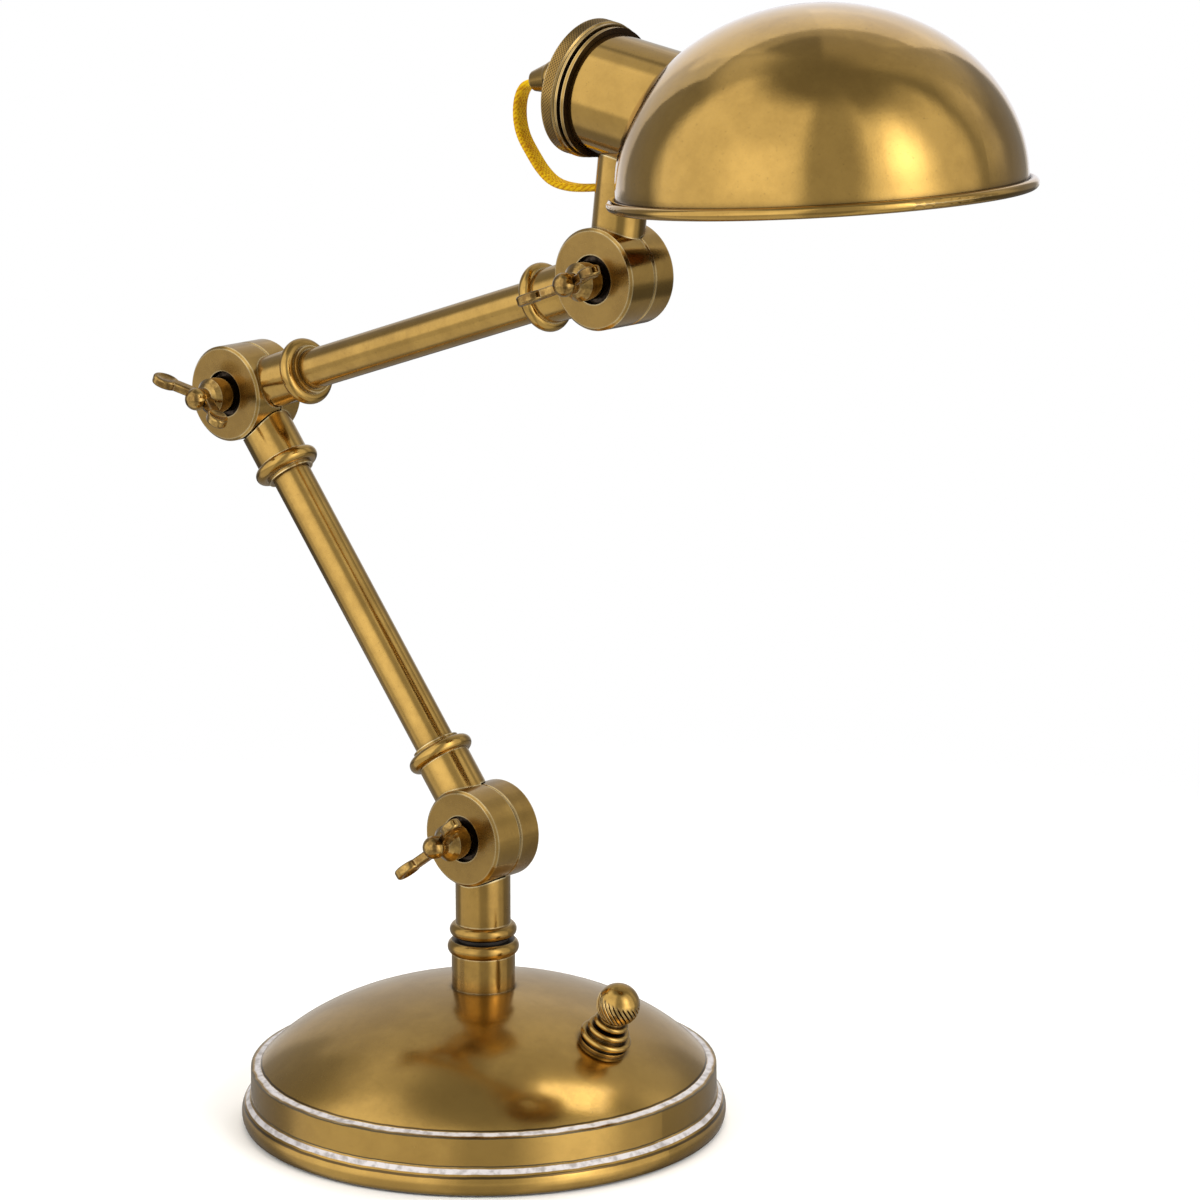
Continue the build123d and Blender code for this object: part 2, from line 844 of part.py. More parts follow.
def make_switch_nut():
    bore = switch_thread_radius + running_gap
    ring_root = switch_ring_radius - (switch_ring_end - switch_ring_start) / 2
    cap_root = switch_cap_radius - (switch_cap_end - switch_groove_end) / 2
    nut = turned(
        line(
            (bore, switch_washer_end),
            (switch_foot_radius, switch_washer_end),
            (switch_foot_radius, switch_ring_start),
            (ring_root, switch_ring_start),
        ),
        round_edge(switch_ring_radius, switch_ring_start, switch_ring_end),
        line(
            (ring_root, switch_ring_end),
            (switch_groove_radius, switch_ring_end),
            (switch_groove_radius, switch_groove_end),
            (cap_root, switch_groove_end),
        ),
        round_edge(switch_cap_radius, switch_groove_end, switch_cap_end),
        line((cap_root, switch_cap_end), (bore, switch_cap_end), (bore, switch_washer_end)),
    )
    return switch_frame * nut


def make_switch_knob():
    collar_root = knob_collar_radius - (knob_collar_end - knob_collar_start) / 2
    ball_drop = math.sqrt(knob_ball_radius ** 2 - knob_neck_radius ** 2)
    shaft_start = switch_body_top + face_gap
    knob = turned(
        line(
            (0, shaft_start),
            (switch_shaft_radius, shaft_start),
            (switch_shaft_radius, knob_collar_start),
            (collar_root, knob_collar_start),
        ),
        round_edge(knob_collar_radius, knob_collar_start, knob_collar_end),
        line(
            (collar_root, knob_collar_end),
            (knob_neck_radius, knob_collar_end),
            (knob_neck_radius, knob_ball_out - ball_drop),
        ),
        arc(
            (knob_neck_radius, knob_ball_out - ball_drop),
            (knob_ball_radius, knob_ball_out),
            (0, knob_ball_out + knob_ball_radius),
        ),
        line((0, knob_ball_out + knob_ball_radius), (0, shaft_start)),
    )
    return switch_frame * knob


# Base
save("base_shell", make_base_shell())
save("base_weight", make_base_weight())
save("base_plate", make_base_plate())
save("felt_pad", disc(plate_radius - felt_inset, 0, felt_thickness))
save("plate_screws", make_plate_screws())
save("cord_bush", make_cord_bush())
save("stem_post", make_stem_post())
save("stem_nipple", disc(nipple_radius, nipple_bottom, nipple_top, nipple_bore_radius))
save(
    "stem_washer",
    disc(stem_washer_radius, nut_recess_top - stem_washer_thickness, nut_recess_top, nipple_hole_radius),
)
save("stem_nut", make_stem_nut())
save(
    "swivel_washer",
    disc(swivel_washer_radius, post_top, post_top + swivel_washer_thickness, spigot_radius + running_gap),
)
save("switch_body", make_switch_body())
save("switch_washer", make_switch_washer())
save("switch_nut", make_switch_nut())
save("switch_knob", make_switch_knob())

# Stem neck and the three knuckles' own fittings
save("stem_neck", make_stem_neck())
knuckles = {
    "base": (base_knuckle, 0, lower_arm_lean, base_ear_angle),
    "elbow": (elbow, lower_arm_lean, upper_arm_lean, elbow_ear_angle),
    "head": (head_knuckle, upper_arm_lean, 0, head_ear_angle),
}
for name, (place, back_lean, front_lean, ear_angle) in knuckles.items():
    save(f"{name}_pivot_screw", Pos(*place) * Rot(0, back_lean, 0) * make_pivot_screw())
    save(f"{name}_friction_disc", Pos(*place) * make_friction_disc())
    save(f"{name}_nut_washer", Pos(*place) * Rot(0, front_lean, 0) * make_nut_washer())
    save(f"{name}_wing_nut", Pos(*place) * make_wing_nut(ear_angle))

# Arms
collar = make_collar()
for name, near_frame, far_frame in (
    ("lower", lower_arm_frame, lower_arm_end_frame),
    ("upper", upper_arm_frame, upper_arm_end_frame),
):
    save(f"{name}_arm_foot", near_frame * front_half(collar))
    save(f"{name}_arm_top", far_frame * back_half(collar))
    save(f"{name}_arm_tube", near_frame * make_arm_tube())
    save(f"{name}_arm_lead", near_frame * make_arm_lead())
    save(f"{name}_lead_bushes", [near_frame * bush for bush in make_lead_bushes()])

# Head
save("head_post", make_head_post())
save("socket_neck", make_socket_neck())
save("socket_cap", make_socket_cap())
save("lead_bush", make_lead_bush())
save("head_lead", make_head_lead())
save("shade", make_shade())
save("shade_rim", make_shade_rim())
save("lamp_socket", make_lamp_socket())
save("socket_ring", make_socket_ring())
save("bulb_cap", make_bulb_cap())
save("bulb_glass", make_bulb_glass())
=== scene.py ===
import json
import math

import bpy
from mathutils import Matrix, Vector


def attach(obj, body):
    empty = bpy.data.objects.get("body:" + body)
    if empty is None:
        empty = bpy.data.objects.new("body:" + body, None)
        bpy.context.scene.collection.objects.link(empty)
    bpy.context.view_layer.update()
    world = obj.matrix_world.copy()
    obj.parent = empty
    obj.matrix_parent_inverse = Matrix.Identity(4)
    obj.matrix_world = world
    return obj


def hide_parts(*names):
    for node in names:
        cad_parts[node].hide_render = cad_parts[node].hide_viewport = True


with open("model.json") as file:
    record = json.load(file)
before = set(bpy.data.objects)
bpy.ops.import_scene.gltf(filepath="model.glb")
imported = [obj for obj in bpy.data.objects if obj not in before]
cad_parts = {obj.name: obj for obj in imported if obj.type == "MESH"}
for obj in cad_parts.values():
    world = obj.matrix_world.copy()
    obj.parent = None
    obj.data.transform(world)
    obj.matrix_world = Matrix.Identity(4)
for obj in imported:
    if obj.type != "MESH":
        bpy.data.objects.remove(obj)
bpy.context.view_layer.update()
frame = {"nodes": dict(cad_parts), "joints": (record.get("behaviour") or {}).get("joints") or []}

node = frame["nodes"]
joint = {entry["name"]: entry for entry in frame["joints"]}


# Camera: the photograph's long lens, a little above the lamp and off to its front corner.
# Its place and lens are worked out from the base, the knuckles and the shade's rim.
camera_place = (0.9221, -1.0135, 0.4761)
camera_tilt = 77.27
camera_turn = 40.77
camera_lens = 136.99
sensor_width = 36.0
near_clip = 0.05

bpy.ops.object.select_all(action="DESELECT")
camera_data = bpy.data.cameras.new("photo_camera")
camera_data.sensor_width = sensor_width
camera_data.lens = camera_lens
camera_data.clip_start = near_clip
camera = bpy.data.objects.new("photo_camera", camera_data)
camera.location = camera_place
camera.rotation_euler = (math.radians(camera_tilt), 0.0, math.radians(camera_turn))
bpy.context.scene.collection.objects.link(camera)
bpy.context.scene.camera = camera
bpy.context.scene.view_settings.view_transform = "Standard"


# Studio: a white room with a pale round floor that fades into it, three soft lamps, and two more that
# shine on the base or on the shade alone. Polished brass shows what stands round it, so in the metal
# the room has a wide panel on the left, a bright one on the right, dark gaps and white sheets behind.
backdrop_white = (1.0, 1.0, 1.0, 1.0)
room_white = (1.0, 0.98, 0.95, 1.0)
panel_white = (1.0, 0.985, 0.96, 1.0)
paper_white = (0.95, 0.95, 0.94, 1.0)
lamp_white = (1.0, 0.97, 0.93)
daylight_blue = (0.8, 0.84, 1.0)
room_level = 0.6
horizon = (-14.0, -6.0)
left_wall_top = (56.0, 74.0)
right_wall_top = (40.0, 70.0)
middle_wall_top = (60.0, 76.0)
ceiling = (72.0, 88.0)
sheet_edge = (152.0, 156.0)
wall_foot_level = 0.62
gloom_level = 0.3
floor_gloom_level = 0.12
ceiling_share = 0.9
floor_middle = (0.03, 0.0, 0.0)
floor_radius = 0.9
floor_sides = 96
fade_start = 0.16
fade_end = 0.5
lost_in_mirror = 0.85
lamp_aim = Vector((0.03, 0.0, 0.2))
lamp_distance = 2.2


def add_node(tree, kind, settings=None, **values):
    made = tree.nodes.new(kind)
    for key, value in (settings or {}).items():
        setattr(made, key, value)
    for key, value in values.items():
        numbered = key[0] == "i" and key[1:].isdigit()
        socket = made.inputs[int(key[1:])] if numbered else made.inputs[key.replace("_", " ")]
        if isinstance(value, bpy.types.NodeSocket):
            tree.links.new(value, socket)
        else:
            socket.default_value = value
    return made


def sums(tree, operation, *values):
    places = {f"i{place}": value for place, value in enumerate(values)}
    return add_node(tree, "ShaderNodeMath", {"operation": operation}, **places).outputs[0]


def ramp(tree, value, low, high, start=0.0, end=1.0):
    made = add_node(
        tree, "ShaderNodeMapRange", {"interpolation_type": "SMOOTHSTEP"},
        Value=value, From_Min=low, From_Max=high, To_Min=start, To_Max=end,
    )
    return made.outputs[0]


def between(tree, value, low, high, soft):
    rise = ramp(tree, value, low - soft, low + soft)
    fall = ramp(tree, value, high - soft, high + soft, 1.0, 0.0)
    return sums(tree, "MULTIPLY", rise, fall)


def fresh_material(name):
    material = bpy.data.materials.new(name)
    material.use_nodes = True
    material.node_tree.nodes.clear()
    return material, material.node_tree


def show(tree, shader):
    add_node(tree, "ShaderNodeOutputMaterial", Surface=shader.outputs[0])


world = bpy.data.worlds.new("white_room")
world.use_nodes = True
bpy.context.scene.world = world
room_tree = world.node_tree
room_tree.nodes.clear()
way = add_node(room_tree, "ShaderNodeTexCoord")
faced = add_node(
    room_tree, "ShaderNodeVectorRotate", {"rotation_type": "Z_AXIS"},
    Vector=way.outputs["Generated"], Angle=math.radians(90.0 - camera_turn),
)
parts = add_node(room_tree, "ShaderNodeSeparateXYZ", Vector=faced.outputs[0])
bearing = sums(room_tree, "ARCTAN2", parts.outputs["Y"], parts.outputs["X"])
aside = sums(room_tree, "DEGREES", bearing)
above = sums(room_tree, "DEGREES", sums(room_tree, "ARCSINE", parts.outputs["Z"]))
behind = sums(room_tree, "ABSOLUTE", aside)


def across(low, high, soft):
    return between(room_tree, aside, low, high, soft)


def upward(low, high, soft):
    return between(room_tree, above, low, high, soft)


def panel(level, sideways, upright):
    shape = sums(room_tree, "MULTIPLY", sideways, upright)
    return sums(room_tree, "MULTIPLY", shape, level)


def below(top):
    return ramp(room_tree, above, *top, 1.0, 0.0)


wall_foot = ramp(room_tree, above, *horizon, wall_foot_level, 1.0)
left_wall = sums(room_tree, "MULTIPLY", wall_foot, below(left_wall_top))
right_wall = sums(room_tree, "MULTIPLY", wall_foot, below(right_wall_top))
# Each panel has its level, its edges to the sides and its edges up and down. The edges are in degrees
# from the camera's side, right being positive, and from the level, with how soft they are as the third.
room_panels = {
    "left": panel(0.86, across(-107.0, -15.0, 8.0), left_wall),
    "left_core": panel(0.3, across(-62.0, -22.0, 12.0), upward(-2.0, 34.0, 10.0)),
    "left_top": panel(0.4, across(-146.0, -104.0, 8.0), upward(46.0, 66.0, 8.0)),
    "right": panel(0.66, across(22.0, 94.0, 8.0), right_wall),
    "right_glow": panel(0.3, across(102.0, 122.0, 6.0), upward(0.0, 40.0, 10.0)),
    "right_back": panel(0.22, across(112.0, 200.0, 10.0), upward(24.0, 76.0, 8.0)),
    "hot_core": panel(2.7, across(37.0, 57.0, 15.0), upward(4.0, 42.0, 20.0)),
    "low_core": panel(0.75, across(31.0, 68.0, 10.0), upward(-26.0, 2.0, 8.0)),
    "middle_gap": panel(0.2, across(-19.0, 29.0, 8.0), below(middle_wall_top)),
    "left_sheet": panel(0.25, across(-200.0, -145.0, 2.0), upward(29.0, 57.0, 2.0)),
    "right_sheet": panel(0.12, across(146.0, 200.0, 2.0), upward(29.0, 57.0, 2.0)),
    "back_sheet": panel(0.28, ramp(room_tree, behind, *sheet_edge), upward(-12.0, 29.0, 2.0)),
}
gloom = ramp(room_tree, above, *horizon, floor_gloom_level, gloom_level)
shown = sums(room_tree, "MULTIPLY", gloom, ramp(room_tree, above, *ceiling, 1.0, ceiling_share))
for light in room_panels.values():
    shown = sums(room_tree, "ADD", light, shown)
ray = add_node(room_tree, "ShaderNodeLightPath")
open_view = sums(room_tree, "MAXIMUM", ray.outputs["Is Camera Ray"], ray.outputs["Is Transmission Ray"])
soft_room = add_node(room_tree, "ShaderNodeBackground", Color=room_white, Strength=room_level)
mirrored_room = add_node(room_tree, "ShaderNodeBackground", Color=panel_white, Strength=shown)
backdrop = add_node(room_tree, "ShaderNodeBackground", Color=backdrop_white, Strength=1.0)
room = add_node(
    room_tree, "ShaderNodeMixShader",
    i0=ray.outputs["Is Glossy Ray"], i1=soft_room.outputs[0], i2=mirrored_room.outputs[0],
)
room = add_node(room_tree, "ShaderNodeMixShader", i0=open_view, i1=room.outputs[0], i2=backdrop.outputs[0])
add_node(room_tree, "ShaderNodeOutputWorld", Surface=room.outputs[0])

bpy.ops.mesh.primitive_circle_add(
    vertices=floor_sides, radius=floor_radius, fill_type="TRIFAN", location=floor_middle,
)
floor = bpy.context.object
floor.name = "floor"
pale_floor, tree = fresh_material("pale_floor")
spot = add_node(tree, "ShaderNodeTexCoord").outputs["Object"]
away = add_node(tree, "ShaderNodeVectorMath", {"operation": "LENGTH"}, i0=spot).outputs["Value"]
ray = add_node(tree, "ShaderNodeLightPath")
hidden = sums(tree, "MULTIPLY", ray.outputs["Is Glossy Ray"], lost_in_mirror)
faded = sums(tree, "MAXIMUM", ramp(tree, away, fade_start, fade_end), hidden)
paper = add_node(tree, "ShaderNodeBsdfDiffuse", Color=paper_white)
clear = add_node(tree, "ShaderNodeBsdfTransparent")
show(tree, add_node(tree, "ShaderNodeMixShader", i0=faded, i1=paper.outputs[0], i2=clear.outputs[0]))
floor.data.materials.append(pale_floor)


def lamp(name, turn, lift, width, tall, power):
    data = bpy.data.lights.new(name, "AREA")
    data.shape = "RECTANGLE"
    data.size = width
    data.size_y = tall
    data.energy = power
    data.color = lamp_white
    made = bpy.data.objects.new(name, data)
    around = math.radians(camera_turn - 90.0 + turn)
    up = math.radians(lift)
    level = Vector((math.cos(around), math.sin(around), 0.0)) * math.cos(up)
    made.location = lamp_aim + (level + Vector((0.0, 0.0, math.sin(up)))) * lamp_distance
    made.rotation_euler = (lamp_aim - made.location).to_track_quat("-Z", "Y").to_euler()
    made.visible_glossy = False
    made.visible_camera = False
    bpy.context.scene.collection.objects.link(made)
    return made


def mirror_only_in(light, *names):
    lit = bpy.data.collections.new(f"{light.name}_lit")
    for name in names:
        lit.objects.link(node[name])
    light.light_linking.receiver_collection = lit
    light.visible_glossy = True
    light.visible_diffuse = False


lamp("key_light", turn=46.0, lift=26.0, width=1.2, tall=1.4, power=34.0)
lamp("fill_light", turn=-62.0, lift=28.0, width=1.6, tall=1.6, power=22.0)
lamp("top_light", turn=170.0, lift=62.0, width=1.6, tall=1.2, power=26.0)
crown_light = lamp("crown_light", turn=104.0, lift=62.0, width=0.7, tall=0.9, power=4.6)
mirror_only_in(crown_light, "base_shell")
shade_sheet = lamp("shade_sheet", turn=187.0, lift=24.0, width=2.9, tall=2.6, power=13.5)
shade_sheet.data.color = daylight_blue
mirror_only_in(shade_sheet, "shade", "shade_rim")


# Yellow lead: a flat twin flex under a braided yellow cover, its width laid across the lamp.
# It comes out of the lead bush at the back of the socket cap, sags and goes into the back of the
# head post. Its route is in millimetres along and above the head knuckle, in the tilted head.
lead_points = [
    (-21.2, 58.22), (-28.4, 57.3), (-31.3, 55.1), (-33.0, 51.3), (-33.5, 46.3), (-32.4, 41.2),
    (-29.2, 36.2), (-25.6, 31.2), (-21.2, 27.6), (-15.0, 26.1), (-8.2, 25.9), (-1.36, 26.3),
]
lead_width = 0.0052
lead_thickness = 0.0022
lead_reach = lead_width / 2
lead_steps = 16
lead_edge_steps = 5
head_tilt = -4.56
head_pivot = Vector(joint["head_knuckle"]["pos_m"])
head_turn = Matrix.Rotation(math.radians(head_tilt), 3, "Y")
bright_yellow = (0.84, 0.53, 0.008)
shaded_yellow = (0.5, 0.21, 0.003)
braid_slant = 0.9
braid_yaw = 0.4
braid_scale = 360.0
fuzz_scale = 900.0
rubbed_scale = 170.0
strand_share = 0.35
fuzz_share = 0.7
rubbed_share = 0.8
braid_tones = (0.72, 1.2)
braid_depth = 0.0003
braid_relief = 0.6
braid_roughness = 0.7
braid_gloss = 0.15


def on_head(along, up):
    return head_pivot + head_turn @ Vector((along / 1000, 0.0, up / 1000))


lead_curve = bpy.data.curves.new("yellow_lead", "CURVE")
lead_curve.dimensions = "3D"
lead_curve.twist_mode = "MINIMUM"
lead_curve.extrude = (lead_width - lead_thickness) / 2 / lead_reach
lead_curve.bevel_depth = lead_thickness / 2 / lead_reach
lead_curve.bevel_resolution = lead_edge_steps
lead_curve.use_fill_caps = True
lead_curve.resolution_u = lead_steps
lead_line = lead_curve.splines.new("NURBS")
lead_line.points.add(len(lead_points) - 1)
for point, place in zip(lead_line.points, lead_points):
    point.co = (*on_head(*place), 1.0)
    point.radius = lead_reach
    point.tilt = math.pi / 2
lead_line.order_u = 3
lead_line.use_endpoint_u = True
yellow_lead = bpy.data.objects.new("yellow_lead", lead_curve)
bpy.context.scene.collection.objects.link(yellow_lead)
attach(yellow_lead, "head")
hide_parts("head_lead")


def noise(tree, spot, scale, detail, roughness=0.5):
    made = add_node(
        tree, "ShaderNodeTexNoise",
        Vector=spot, Scale=scale, Detail=detail, Roughness=roughness,
    )
    return made.outputs["Fac"]


def blended(tree, share, first, second):
    ends = [(*end, 1.0) if isinstance(end, tuple) else end for end in (first, second)]
    made = add_node(tree, "ShaderNodeMix", {"data_type": "RGBA"}, i0=share, i6=ends[0], i7=ends[1])
    return made.outputs[2]


def dress(material, *names):
    for name in names:
        node[name].data.materials.clear()
        node[name].data.materials.append(material)


yellow_braid, tree = fresh_material("yellow_braid")
spot = add_node(tree, "ShaderNodeTexCoord").outputs["Object"]
strands = []
for slant in (braid_slant, -braid_slant):
    laid = add_node(tree, "ShaderNodeMapping", Vector=spot, Rotation=(slant, braid_yaw, 0.0))
    strands.append(add_node(
        tree, "ShaderNodeTexWave", {"bands_direction": "Z"},
        Vector=laid.outputs[0], Scale=braid_scale, Distortion=1.5, Detail=1.0, Detail_Scale=2.0,
    ).outputs["Fac"])
weave = sums(tree, "MAXIMUM", *strands)
fuzz = noise(tree, spot, fuzz_scale, detail=4.0, roughness=0.7)
rubbed = sums(tree, "MULTIPLY", noise(tree, spot, rubbed_scale, detail=3.0), rubbed_share)
fluff = sums(tree, "MULTIPLY_ADD", fuzz, fuzz_share, rubbed)
tone = sums(tree, "MULTIPLY_ADD", weave, strand_share, fluff)
relief = add_node(tree, "ShaderNodeBump", Strength=braid_relief, Distance=braid_depth, Height=tone)
thread = add_node(
    tree, "ShaderNodeBsdfPrincipled",
    Base_Color=blended(tree, ramp(tree, tone, *braid_tones), shaded_yellow, bright_yellow),
    Roughness=braid_roughness, Normal=relief.outputs[0],
)
thread.inputs["Specular IOR Level"].default_value = braid_gloss
show(tree, thread)
lead_curve.materials.append(yellow_braid)
dress(yellow_braid, "head_lead")


# Base shell: spun from sheet brass with a rolled foot, two ledges and a low crown, then aged brown and
# rubbed back. The two ledges are painted pale, partly as rubbed bare metal and partly as painted
# highlight, each between painted shadow lines. A band is given by its lowest and highest height and by how
# soft its edges are.
gold = (0.545, 0.335, 0.082)
brown = (0.43, 0.258, 0.06)
# Near-dark brown for patina and wax, used also for painted shade and painted shadow lines.
patina_and_shade_brown = (0.045, 0.024, 0.008)
# Pale edge colour: partly rubbed wear, partly painted highlight.
worn_highlight_gold = (0.95, 0.79, 0.46)
# Pale ledge colours: partly rubbed bare metal, partly painted highlight.
pale_worn_highlight = (0.68, 0.65, 0.66)
grey_worn_highlight = (0.38, 0.35, 0.34)
fleck_scale = 1400.0
smear_fineness = 6.0
smear_share = 0.35
brass_tones = (0.5, 0.86)
# Hollows found by ambient occlusion are darkened: partly patina, partly painted shade.
grime_and_shade_reach = 0.003
grime_and_shade_span = (0.32, 0.88)
pit_span = (0.63, 0.74)
pit_share = 0.3
edge_radius = 0.0008
edge_span = (0.93, 0.995)
probe_rays = 6
tone_roughness = 0.06
dirt_roughness = 0.3
scratch_share = 0.6
scratch_depth = 0.0002
scratch_relief = 0.05
lacquer_share = 0.3
lacquer_roughness = 0.12
# How dark wax in grooves and the painted shadow lines beside the ledges are made.
wax_and_shadow_share = 0.85
ledge_bands = ((0.01825, 0.01875, 0.0001), (0.0072, 0.0085, 0.00012))
# Heights of the painted shadow lines beside the two ledges.
shadow_lines = (
    (0.01765, 0.0181, 0.0001), (0.0089, 0.0093, 0.0001),
    (0.006, 0.0067, 0.00012), (0.0189, 0.0193, 0.0001),
)
ledge_wander = 0.0004
ledge_wander_scale = 130.0
ledge_shine_scale = 420.0
ledge_shine_span = (0.3, 0.6)
ledge_metal_loss = 0.8
ledge_roughness = 0.2


def aged_brass(name, bright, dull, polish, cloud, feature=None, wear_and_highlight=0.9):
    material, tree = fresh_material(name)
    spot = add_node(tree, "ShaderNodeTexCoord").outputs["Object"]
    patches = noise(tree, spot, cloud, detail=5.0, roughness=0.6)
    flecks = noise(tree, spot, fleck_scale, detail=3.0, roughness=0.6)
    smears = noise(tree, spot, cloud * smear_fineness, detail=4.0, roughness=0.7)
    tone = ramp(tree, sums(tree, "MULTIPLY_ADD", smears, smear_share, patches), *brass_tones)
    colour = blended(tree, tone, dull, bright)
    # Darker in hollows, creases and between parts: partly patina, partly painted shade.
    corner = add_node(tree, "ShaderNodeAmbientOcclusion", {"samples": probe_rays}, Distance=grime_and_shade_reach)
    grime_and_shade = ramp(tree, corner.outputs["AO"], *grime_and_shade_span, 1.0, 0.0)
    dirt_and_shade = sums(tree, "MAXIMUM", grime_and_shade, ramp(tree, flecks, *pit_span, 0.0, pit_share))
    colour = blended(tree, dirt_and_shade, colour, patina_and_shade_brown)
    aim = add_node(tree, "ShaderNodeNewGeometry").outputs["Normal"]
    # Paler on edges and ridges: partly rubbed wear, partly painted highlight.
    rounded = add_node(tree, "ShaderNodeBevel", {"samples": probe_rays}, Radius=edge_radius).outputs[0]
    turned = add_node(tree, "ShaderNodeVectorMath", {"operation": "DOT_PRODUCT"}, i0=aim, i1=rounded)
    edge_wear_and_highlight = ramp(tree, turned.outputs["Value"], *edge_span, wear_and_highlight, 0.0)
    edge_wear_and_highlight = sums(tree, "MULTIPLY", edge_wear_and_highlight, sums(tree, "SUBTRACT", 1.0, grime_and_shade))
    colour = blended(tree, edge_wear_and_highlight, colour, worn_highlight_gold)
    rough = sums(tree, "MULTIPLY_ADD", dirt_and_shade, dirt_roughness, polish + tone_roughness)
    rough = sums(tree, "MULTIPLY_ADD", tone, -tone_roughness, rough)
    scratches = sums(tree, "MULTIPLY_ADD", smears, scratch_share, flecks)
    relief = add_node(
        tree, "ShaderNodeBump", Strength=scratch_relief, Distance=scratch_depth, Height=scratches,
    )
    metal = add_node(
        tree, "ShaderNodeBsdfPrincipled",
        Base_Color=colour, Metallic=1.0, Roughness=rough, Normal=relief.outputs[0],
    )
    metal.inputs["Coat Weight"].default_value = lacquer_share
    metal.inputs["Coat Roughness"].default_value = lacquer_roughness
    if feature:
        feature(tree, spot, metal, colour, rough)
    show(tree, metal)
    return material


def any_band(tree, value, bands):
    found = between(tree, value, *bands[0])
    for band in bands[1:]:
        found = sums(tree, "MAXIMUM", found, between(tree, value, *band))
    return found


def rubbed_ledges_and_painted_light(tree, spot, metal, colour, rough):
    parts = add_node(tree, "ShaderNodeSeparateXYZ", Vector=spot)
    wander = noise(tree, spot, ledge_wander_scale, detail=3.0)
    wander = sums(tree, "MULTIPLY_ADD", wander, ledge_wander, -ledge_wander / 2)
    height = sums(tree, "ADD", parts.outputs["Z"], wander)
    ledge = any_band(tree, height, ledge_bands)
    # Painted shadow lines beside each ledge.
    painted_shadow_lines = sums(tree, "MULTIPLY", any_band(tree, height, shadow_lines), wax_and_shadow_share)
    shine = ramp(tree, noise(tree, spot, ledge_shine_scale, detail=4.0), *ledge_shine_span)
    # Ledges painted pale: partly rubbed bare metal, partly painted highlight.
    colour = blended(tree, ledge, colour, blended(tree, shine, grey_worn_highlight, pale_worn_highlight))
    tree.links.new(blended(tree, painted_shadow_lines, colour, patina_and_shade_brown), metal.inputs["Base Color"])
    tree.links.new(sums(tree, "MULTIPLY_ADD", ledge, -ledge_metal_loss, 1.0), metal.inputs["Metallic"])
    tree.links.new(sums(tree, "MULTIPLY_ADD", ledge, ledge_roughness, rough), metal.inputs["Roughness"])


base_brass = aged_brass("base_brass", gold, brown, polish=0.17, cloud=26.0, feature=rubbed_ledges_and_painted_light)
dress(base_brass, "base_shell")


# Underside of the base: an iron ballast, a steel bottom plate held by three screws, and a felt disc
# glued under it. The clamping nipple, its washer and its nut are plain steel, hidden in the ballast.
zinc_light = (0.6, 0.58, 0.54)
zinc_dark = (0.42, 0.4, 0.37)
iron_light = (0.1, 0.1, 0.1)
iron_dark = (0.05, 0.05, 0.05)
felt_light = (0.04, 0.062, 0.045)
felt_dark = (0.012, 0.02, 0.014)
metal_tones = (0.36, 0.64)
metal_tone_roughness = 0.12
metal_grain_depth = 0.0003
metal_grain_relief = 0.2
felt_fibre_scale = 1100.0
felt_nap_scale = 60.0
felt_nap_share = 0.4
felt_tones = (0.45, 0.95)
felt_depth = 0.0006
felt_relief = 0.8
felt_roughness = 0.95
felt_sheen = 0.3


def plain_metal(name, light, dark, polish, scale):
    material, tree = fresh_material(name)
    spot = add_node(tree, "ShaderNodeTexCoord").outputs["Object"]
    grain = noise(tree, spot, scale, detail=5.0, roughness=0.65)
    tone = ramp(tree, grain, *metal_tones)
    rough = sums(tree, "MULTIPLY_ADD", tone, -metal_tone_roughness, polish + metal_tone_roughness)
    relief = add_node(
        tree, "ShaderNodeBump", Strength=metal_grain_relief, Distance=metal_grain_depth, Height=grain,
    )
    metal = add_node(
        tree, "ShaderNodeBsdfPrincipled",
        Base_Color=blended(tree, tone, dark, light), Metallic=1.0,
        Roughness=rough, Normal=relief.outputs[0],
    )
    show(tree, metal)
    return material


zinc_steel = plain_metal("zinc_steel", zinc_light, zinc_dark, polish=0.3, scale=700.0)
dress(zinc_steel, "base_plate", "plate_screws", "stem_nipple", "stem_washer", "stem_nut")
cast_iron = plain_metal("cast_iron", iron_light, iron_dark, polish=0.55, scale=500.0)
dress(cast_iron, "base_weight")

green_felt, tree = fresh_material("green_felt")
spot = add_node(tree, "ShaderNodeTexCoord").outputs["Object"]
fibre = noise(tree, spot, felt_fibre_scale, detail=5.0, roughness=0.75)
nap = noise(tree, spot, felt_nap_scale, detail=3.0)
tuft = sums(tree, "MULTIPLY_ADD", nap, felt_nap_share, fibre)
relief = add_node(tree, "ShaderNodeBump", Strength=felt_relief, Distance=felt_depth, Height=fibre)
felt = add_node(
    tree, "ShaderNodeBsdfPrincipled",
    Base_Color=blended(tree, ramp(tree, tuft, *felt_tones), felt_dark, felt_light),
    Roughness=felt_roughness, Normal=relief.outputs[0],
)
felt.inputs["Sheen Weight"].default_value = felt_sheen
show(tree, felt)
dress(green_felt, "felt_pad")


# Dark fittings: a rubber grommet pushed into the back of the base, and the moulded washers, bushes,
# socket and switch body. They are dull and a little dusty, and mostly only their edges show.
rubber_light = (0.03, 0.03, 0.03)
rubber_dark = (0.014, 0.014, 0.014)
moulding_light = (0.03, 0.022, 0.017)
moulding_dark = (0.012, 0.009, 0.007)
dust_scale = 180.0
dust_tones = (0.35, 0.7)
dust_roughness = 0.2
moulding_grain_scale = 1600.0
moulding_grain_depth = 0.0002
moulding_relief = 0.25


